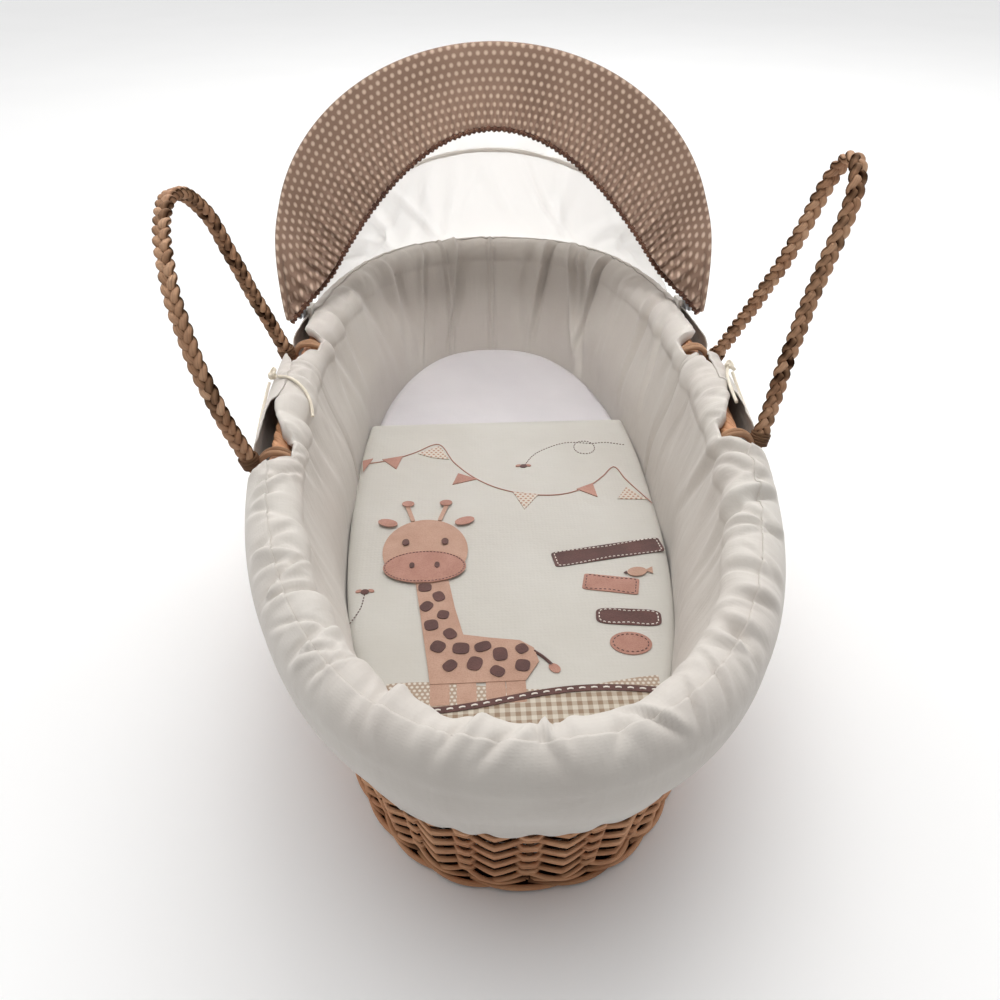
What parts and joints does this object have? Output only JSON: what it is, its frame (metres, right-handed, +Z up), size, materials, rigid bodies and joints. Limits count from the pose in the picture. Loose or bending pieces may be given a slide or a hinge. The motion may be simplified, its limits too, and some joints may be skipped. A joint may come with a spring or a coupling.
{
  "type": "moses basket",
  "caption": "Oval wicker baby basket with two swinging plaited handles, a padded cotton liner and skirt, mattress, quilt and a folding hood on wire hoops.",
  "frame": {"origin": "on the floor under the middle of the oval base, on the base's flat underside", "axes": "+Z up, +Y towards the head end where the hood is, +X towards the right-hand side seen from the foot"},
  "size_m": [0.5525, 0.8791, 0.4657],
  "materials": {
    "wicker": "split willow, clear lacquered, semi-matt",
    "plait": "plaited palm leaf, dry matt",
    "liner_cotton": "plain woven cotton over thin wadding",
    "sheet_cotton": "plain white jersey",
    "mattress_cover": "quilted white ticking over foam",
    "quilt_cotton": "ivory cotton with sewn cut-outs",
    "hood_voile": "thin translucent cotton voile",
    "hood_dotted": "brown cotton with woven cream dots",
    "brim_edging": "gathered dark edging over elastic",
    "ribbon": "folded cotton tape",
    "elastic": "white braided elastic",
    "hoop_wire": "zinc plated spring wire",
    "clip_plastic": "off-white moulded plastic"
  },
  "bodies": {
    "basket": {"base_weave": "wicker", "foot_border": "wicker", "side_weave": "wicker", "upper_waling": "wicker", "top_border": "wicker", "liner_floor": "liner_cotton", "liner_pad": "liner_cotton", "liner_skirt": "liner_cotton", "hem_elastic": "elastic", "mattress": "mattress_cover", "fitted_sheet": "sheet_cotton", "quilt": "quilt_cotton", "hood_bracket_left": "clip_plastic", "hood_bracket_right": "clip_plastic", "hood_cap_left": "clip_plastic", "hood_cap_right": "clip_plastic", "hood_back_panel": "hood_voile", "tie_knot_left": "ribbon", "tie_knot_right": "ribbon", "tie_tail_left_inner": "ribbon", "tie_tail_left_outer": "ribbon", "tie_tail_right_upper": "ribbon", "tie_tail_right_lower": "ribbon"},
    "left_handle": {"handle_left": "plait"},
    "right_handle": {"handle_right": "plait"},
    "hood_rear": {"hood_rear_hoop": "hoop_wire"},
    "hood_front": {"hood_front_hoop": "hoop_wire", "hood_brim": "hood_dotted", "hood_brim_elastic": "brim_edging", "hood_top_panel": "hood_voile"}
  },
  "joints": [
    {"name": "handle_left_swing", "type": "hinge", "parent": "basket", "child": "left_handle", "pos_m": [-0.1935, -0.007, 0.204], "axis": [0, -1, 0], "range_deg": [-72, 38]},
    {"name": "handle_right_swing", "type": "hinge", "parent": "basket", "child": "right_handle", "pos_m": [0.1947, -0.015, 0.204], "axis": [0, 1, 0], "range_deg": [-72, 38]},
    {"name": "hood_rear_fold", "type": "hinge", "parent": "basket", "child": "hood_rear", "pos_m": [0, 0.16, 0.222], "axis": [-1, 0, 0], "range_deg": [-6, 13], "deforming": ["hood_back_panel"]},
    {"name": "hood_front_fold", "type": "hinge", "parent": "hood_rear", "child": "hood_front", "pos_m": [0, 0.16, 0.222], "axis": [-1, 0, 0], "range_deg": [-14, 30], "deforming": ["hood_top_panel"]}
  ],
  "couplings": [
    {"joint": "hood_rear_fold", "follows": "hood_front_fold", "ratio": 0.4}
  ]
}
